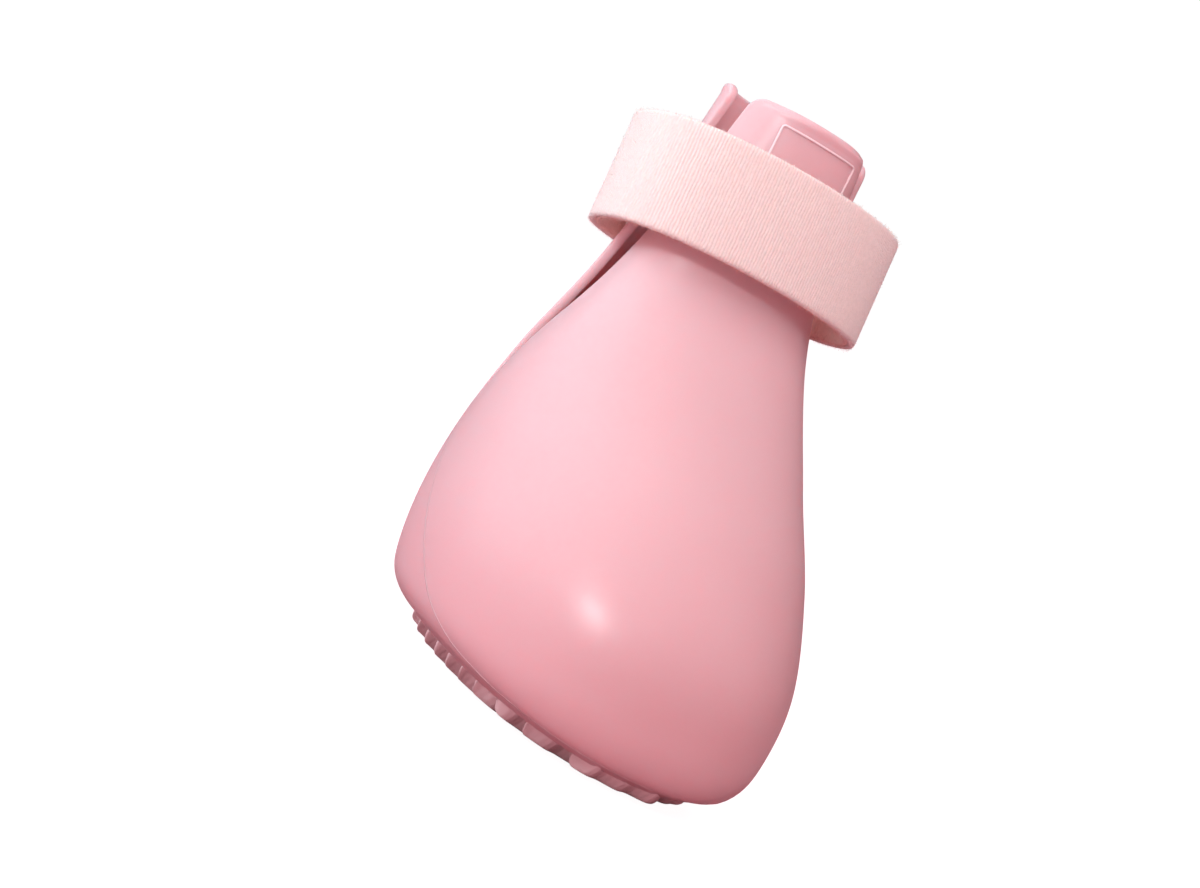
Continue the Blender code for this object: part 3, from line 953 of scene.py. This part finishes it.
# Edge of a tape from its outer face to its inner one: inset from the edge in metres and depth in
# shares of half the thickness. The strap is an outer tape with a pile layer behind a fine groove.
EDGE_COLUMNS = ("inset", "depth")
STRAP_EDGE = (
    (0.00100, 1.00),
    (0.00050, 0.97),
    (0.00018, 0.84),
    (0.00003, 0.60),
    (0.00000, 0.34),
    (0.00008, 0.10),
    (0.00028, -0.04),
    (0.00055, -0.12),
    (0.00055, -0.22),
    (0.00026, -0.30),
    (0.00012, -0.46),
    (0.00014, -0.70),
    (0.00036, -0.92),
    (0.00090, -1.00),
)
HOOK_EDGE = (
    (0.00040, 1.00),
    (0.00010, 0.80),
    (0.00000, 0.30),
    (0.00000, -0.30),
    (0.00010, -0.80),
    (0.00040, -1.00),
)
TAPE_STEPS = 420
HOOK_STEPS = 90
TAPE_END_ROUND = 0.0030
HOOK_END_ROUND = 0.0010
# Share of its rounding by which a tape's end narrows
END_ROUND_KEPT = 0.98
# Depth in shares of half the thickness below which the tape has its inner colour
PILE_BELOW = -0.15

# Fibres: numbers on the edges and the faces, lengths, widths and insets in metres, curl in radians
FUZZ_SEED = 7
FUZZ_EDGE = 10000
FUZZ_FACE = 5000
FUZZ_WIDTH = 0.00006
FUZZ_TIP_SHARE = 0.4
FUZZ_EDGE_LENGTH = (0.00025, 0.00075)
FUZZ_FACE_LENGTH = (0.00015, 0.00035)
FUZZ_EDGE_INSET = 0.0003
FUZZ_FACE_INSET = (0.0004, STRAP_WIDTH / 2)
FUZZ_BENDS = 3
FUZZ_CURL = 1.3
# Depths of their roots in shares of half the thickness, and the odds of the inner and the outer face
FUZZ_EDGE_DEPTH = (-0.95, 0.9)
FUZZ_FACE_DEPTH = (-0.98, 0.99)
FUZZ_FACE_ODDS = (0.45, 0.55)
# How far the edge's fibres lean to the near face, and how far all stray along, across and out
FUZZ_EDGE_LEAN = 0.35
FUZZ_STRAY_ALONG = 0.8
FUZZ_STRAY_ACROSS = 0.4
FUZZ_STRAY_OUT = 0.25


def tape_line(start, end, out, steps):
    """Evenly spaced middle line of a tape with its outward directions and run."""
    dense = np.linspace(start, end, TAPE_SCAN)
    line, _ = loop_points(dense, np.full(len(dense), out))
    run = run_along(line)
    stops = np.linspace(0, run[-1], steps + 1)
    line, outward = loop_points(np.interp(stops, run, dense), np.full(len(stops), out))
    return line, outward, stops


def tape_place(line, outward, depth, side):
    """Points in the boot's frame from places on the strap's own plane."""
    centre, forward, up = strap_frame()
    place = line + outward * np.asarray(depth)[..., None]
    across = np.zeros(place.shape[:-1] + (3,))
    across[..., 0] = place[..., 0]
    return centre + across + forward * place[..., 1:2] + up * np.asarray(side)[..., None]


def end_shortening(stops, radius):
    """How far the rounded ends of a tape narrow each half of its width."""
    to_end = np.minimum(stops, stops[-1] - stops)
    return radius - np.sqrt(np.maximum(radius ** 2 - np.maximum(radius - to_end, 0) ** 2, 0))


def tape_mesh(start, end, near, far, width, edge, steps, end_round):
    """Tape with the given edge on both sides and rounded ends, with its UVs and an inner mark."""
    line, outward, stops = tape_line(start, end, (near + far) / 2, steps)
    half = width / 2 - end_shortening(stops, end_round) * END_ROUND_KEPT
    thick = (far - near) / 2
    section = dict(zip(EDGE_COLUMNS, np.array(edge).T))
    inset = np.r_[section["inset"], section["inset"][::-1]]
    depth = np.r_[section["depth"], section["depth"][::-1]] * thick
    sign = np.repeat((1.0, -1.0), len(edge))
    side = sign * np.maximum(half[:, None] - inset, 0.0)
    depths = np.repeat(depth[None], len(stops), axis=0)
    points = tape_place(line[:, None], outward[:, None], depths, side)
    around = len(inset)
    faces = []
    for k in range(len(stops) - 1):
        for i in range(around):
            m = (i + 1) % around
            faces.append((k * around + i, k * around + m, (k + 1) * around + m, (k + 1) * around + i))
    faces.append(tuple(range(around - 1, -1, -1)))
    last = (len(stops) - 1) * around
    faces.append(tuple(last + i for i in range(around)))
    uvs = np.stack([np.repeat(stops[:, None], around, axis=1), side], -1).reshape(-1, 2)
    inner = np.repeat((depth < PILE_BELOW * thick)[None], len(stops), axis=0).astype(float).ravel()
    return points.reshape(-1, 3), faces, uvs, inner


def add_marks(obj, uvs, inner):
    """UVs along and across the tape, and the mark of its inner side."""
    mesh = obj.data
    layer = mesh.uv_layers.new(name="tape")
    index = np.zeros(len(mesh.loops), int)
    mesh.loops.foreach_get("vertex_index", index)
    layer.data.foreach_set("uv", np.asarray(uvs)[index].ravel())
    mark = mesh.attributes.new("inner", "FLOAT", "POINT")
    mark.data.foreach_set("value", np.asarray(inner, dtype=np.float32))


def add_tape(name, material, slot, **sizes):
    """Tape as an object of its own."""
    vertices, faces, uvs, inner = tape_mesh(**sizes)
    obj = add_mesh(name, vertices, faces, material)
    add_marks(obj, uvs, inner)
    return obj


def make_strap(tape, hook):
    """Strap with its fibres, and the hook patch between its two layers."""
    strap = add_tape(
        "strap_tape", tape, "loop_tape", start=STRAP_START, end=STRAP_END, near=0.0, far=STRAP_THICKNESS,
        width=STRAP_WIDTH, edge=STRAP_EDGE, steps=TAPE_STEPS, end_round=TAPE_END_ROUND)
    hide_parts("strap")
    patch = add_tape(
        "hook_tape", hook, "hook_tape", start=HOOK_FROM, end=HOOK_TO, near=-GAP - HOOK_THICKNESS, far=-GAP,
        width=HOOK_WIDTH, edge=HOOK_EDGE, steps=HOOK_STEPS, end_round=HOOK_END_ROUND)
    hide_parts("hook_patch")
    make_fuzz(tape)


def make_fuzz(material):
    """Short curled fibres on the strap's edges and faces, as thin bent ribbons."""
    rng = np.random.default_rng(FUZZ_SEED)
    line, outward, stops = tape_line(STRAP_START, STRAP_END, STRAP_THICKNESS / 2, TAPE_STEPS)
    count = FUZZ_EDGE + FUZZ_FACE
    on_edge = np.arange(count) < FUZZ_EDGE
    k = rng.integers(2, len(stops) - 2, count)
    half = (STRAP_WIDTH / 2 - end_shortening(stops, TAPE_END_ROUND))[k]
    sign = rng.choice((-1.0, 1.0), count)
    edge_depth = rng.uniform(*FUZZ_EDGE_DEPTH, count)
    face_depth = rng.choice(FUZZ_FACE_DEPTH, count, p=FUZZ_FACE_ODDS)
    depth_share = np.where(on_edge, edge_depth, face_depth)
    inset = np.where(on_edge, FUZZ_EDGE_INSET, rng.uniform(*FUZZ_FACE_INSET, count))
    side = sign * (half - inset)
    root = tape_place(line[k], outward[k], depth_share * STRAP_THICKNESS / 2, side)
    _, forward, up = strap_frame()
    out3 = outward[k][:, :1] * np.array((1.0, 0.0, 0.0)) + outward[k][:, 1:] * forward
    along3 = np.cross(out3, up)
    lift = np.where(on_edge, FUZZ_EDGE_LEAN, 1.0) * np.sign(depth_share)
    reach = np.where(on_edge, sign, 0.0)
    direction = up * reach[:, None] + out3 * lift[:, None]
    direction += along3 * rng.normal(0, FUZZ_STRAY_ALONG, (count, 1))
    direction += up * rng.normal(0, FUZZ_STRAY_ACROSS, (count, 1))
    direction += out3 * rng.normal(0, FUZZ_STRAY_OUT, (count, 1))
    direction = unit(direction)
    curl = rng.normal(0, 1, (count, 3))
    curl = unit(curl - direction * (curl * direction).sum(1, keepdims=True))
    edge_length = rng.uniform(*FUZZ_EDGE_LENGTH, count)
    length = np.where(on_edge, edge_length, rng.uniform(*FUZZ_FACE_LENGTH, count))
    flat = np.cross(direction, curl)
    rows = []
    for b in range(FUZZ_BENDS + 1):
        share = b / FUZZ_BENDS
        turn = FUZZ_CURL * share
        place = root + (direction * math.sin(turn) + curl * (1 - math.cos(turn))) * length[:, None]
        width = FUZZ_WIDTH * (1 - (1 - FUZZ_TIP_SHARE) * share) / 2
        rows.append(place - flat * width)
        rows.append(place + flat * width)
    vertices = np.stack(rows, 1).reshape(-1, 3)
    per = 2 * (FUZZ_BENDS + 1)
    faces = []
    for i in range(count):
        for first in range(i * per, i * per + 2 * FUZZ_BENDS, 2):
            faces.append((first, first + 1, first + 3, first + 2))
    obj = add_mesh("strap_fuzz", vertices, faces, material)
    uvs = np.repeat(np.stack([stops[k], side], -1), per, axis=0)
    add_marks(obj, uvs, np.repeat((depth_share < PILE_BELOW).astype(float), per))


# Studio
CAMERA_PLACE = (-0.2865, -0.4544, 0.0957)
CAMERA_AIM = (-0.0113, 0.0116, 0.0445)
CAMERA_ROLL = 31.1
CAMERA_LENS = 97.0
SENSOR_WIDTH = 36.0
FLOOR_HALF = 6.0
FLOOR_DROP = 0.00002
FLOOR_GLOW = 0.96
WHITE = (1, 1, 1, 1)
# Ambient light from the +X side and from the -X side
AMBIENT_RIGHT = (0.11, 0.02, 0.03, 1)
AMBIENT_LEFT = (0.46, 0.39, 0.42, 1)
AMBIENT_STRENGTH = 1.02
LIGHT_AIM = (0, 0, 0.05)
# Soft boxes: direction from the aim, distance and size in metres, power in watts. Only the key shows
# as a highlight.
LIGHT_COLUMNS = ("name", "direction", "distance", "size", "power", "colour", "glossy")
LIGHTS = (
    ("key", (-0.516, -0.682, 0.519), 0.9, 0.18, 1.9, (1.0, 1.0, 1.0), True),
    ("left_box", (-1.0, 0.2, 0.7), 1.4, 1.8, 13.4, (0.74, 1.0, 1.02), False),
    ("low_left", (-1.0, 0.55, 0.30), 1.0, 0.45, 3.6, (0.74, 1.0, 1.05), False),
    ("right_box", (0.40, -0.6, 1.6), 1.2, 1.1, 8.0, (1.0, 0.90, 0.90), False),
    ("front_box", (-0.35, -0.9, 0.65), 1.2, 1.2, 0.9, (1.0, 1.0, 1.0), False),
    ("low_front", (-0.78, -0.60, -0.02), 1.0, 0.25, 1.6, (1.0, 0.88, 0.90), False),
)


def make_camera():
    """Camera at the photograph's angle to the boot, rolled because the boot stands upright here."""
    camera = bpy.data.cameras.new("camera")
    camera.lens = CAMERA_LENS
    camera.sensor_width = SENSOR_WIDTH
    camera.clip_start = 0.01
    camera.clip_end = 50.0
    obj = bpy.data.objects.new("camera", camera)
    bpy.context.scene.collection.objects.link(obj)
    back = (Vector(CAMERA_PLACE) - Vector(CAMERA_AIM)).normalized()
    turn = back.to_track_quat("Z", "Y").to_matrix() @ Matrix.Rotation(math.radians(CAMERA_ROLL), 3, "Z")
    obj.matrix_world = Matrix.Translation(CAMERA_PLACE) @ turn.to_4x4()
    bpy.context.scene.camera = obj


def add_light(name, direction, distance, size, power, colour, glossy):
    """Round soft box that faces the boot."""
    data = bpy.data.lights.new(name, "AREA")
    data.shape = "DISK"
    data.size = size
    data.energy = power
    data.color = colour
    obj = bpy.data.objects.new(name, data)
    bpy.context.scene.collection.objects.link(obj)
    direction = Vector(direction).normalized()
    obj.location = Vector(LIGHT_AIM) + direction * distance
    obj.rotation_euler = direction.to_track_quat("Z", "Y").to_euler()
    obj.visible_glossy = glossy


def make_floor():
    """Floor that the camera sees as white and the boot as pink."""
    half = FLOOR_HALF
    corners = [(x, y, -FLOOR_DROP) for x, y in ((-half, -half), (half, -half), (half, half), (-half, half))]
    mesh = bpy.data.meshes.new("floor")
    mesh.from_pydata(corners, [], [(0, 1, 2, 3)])
    floor = bpy.data.objects.new("floor", mesh)
    bpy.context.scene.collection.objects.link(floor)
    material, tree, shader = new_material("pale_floor")
    set_inputs(shader, {"Base Color": (0.46, 0.23, 0.26, 1), "Roughness": 0.85, "Emission Color": WHITE})
    seen = tree.nodes.new("ShaderNodeLightPath").outputs["Is Camera Ray"]
    glow = add_range(tree, seen, 0.0, 1.0, 0.0, FLOOR_GLOW)
    tree.links.new(glow, shader.inputs["Emission Strength"])
    mesh.materials.append(material)


def make_world():
    """World that the camera sees as white, with ambient light that changes across the boot."""
    world = bpy.data.worlds.new("studio")
    bpy.context.scene.world = world
    world.use_nodes = True
    tree = world.node_tree
    seen = tree.nodes.new("ShaderNodeLightPath").outputs["Is Camera Ray"]
    place = tree.nodes.new("ShaderNodeTexCoord").outputs["Generated"]
    left = add_range(tree, add_part(tree, place, "X"), -1.0, 1.0, 1.0, 0.0)
    ambient = add_mix(tree, "MIX", left, AMBIENT_RIGHT, AMBIENT_LEFT)
    background = tree.nodes["Background"]
    background.inputs["Strength"].default_value = AMBIENT_STRENGTH
    tree.links.new(add_mix(tree, "MIX", seen, ambient, WHITE), background.inputs["Color"])


make_camera()
silicone = silicone_material(
    "pink_silicone_look", light=(0.83, 0.485, 0.515), dark=(0.81, 0.460, 0.490), scatter=0.5)
# The tread's copy of the silicone is painted much paler: painted light, so that the lugs in the shade under
# the boot look lit
tread_painted_light_silicone = silicone_material(
    "pink_tread_painted_light_look", light=(0.97, 0.730, 0.740), dark=(0.96, 0.710, 0.720), scatter=0.0)
# The label frame and the parting line are painted paler than the skin, a painted highlight along each
# raised line
frame_painted_light_silicone = silicone_material(
    "pink_frame_painted_light_look", light=(0.92, 0.640, 0.670), dark=(0.92, 0.640, 0.670), scatter=0.0)
parting_painted_light_silicone = silicone_material(
    "pink_parting_painted_light_look", light=(0.94, 0.660, 0.690), dark=(0.93, 0.650, 0.680), scatter=0.0)
tape = cloth_material("peach_loop_tape_look", (0.95, 0.730, 0.700), (0.97, 0.62, 0.55))
hook = cloth_material("coral_hook_tape_look", (0.86, 0.40, 0.34), (0.80, 0.33, 0.28))
grid = boot_grid()
make_skin(silicone, grid)
make_tread(tread_painted_light_silicone)
make_label_frame(frame_painted_light_silicone, grid)
make_parting_line(parting_painted_light_silicone)
make_strap(tape, hook)
make_floor()
make_world()
for row in LIGHTS:
    add_light(**dict(zip(LIGHT_COLUMNS, row)))
bpy.context.scene.view_settings.view_transform = "Standard"
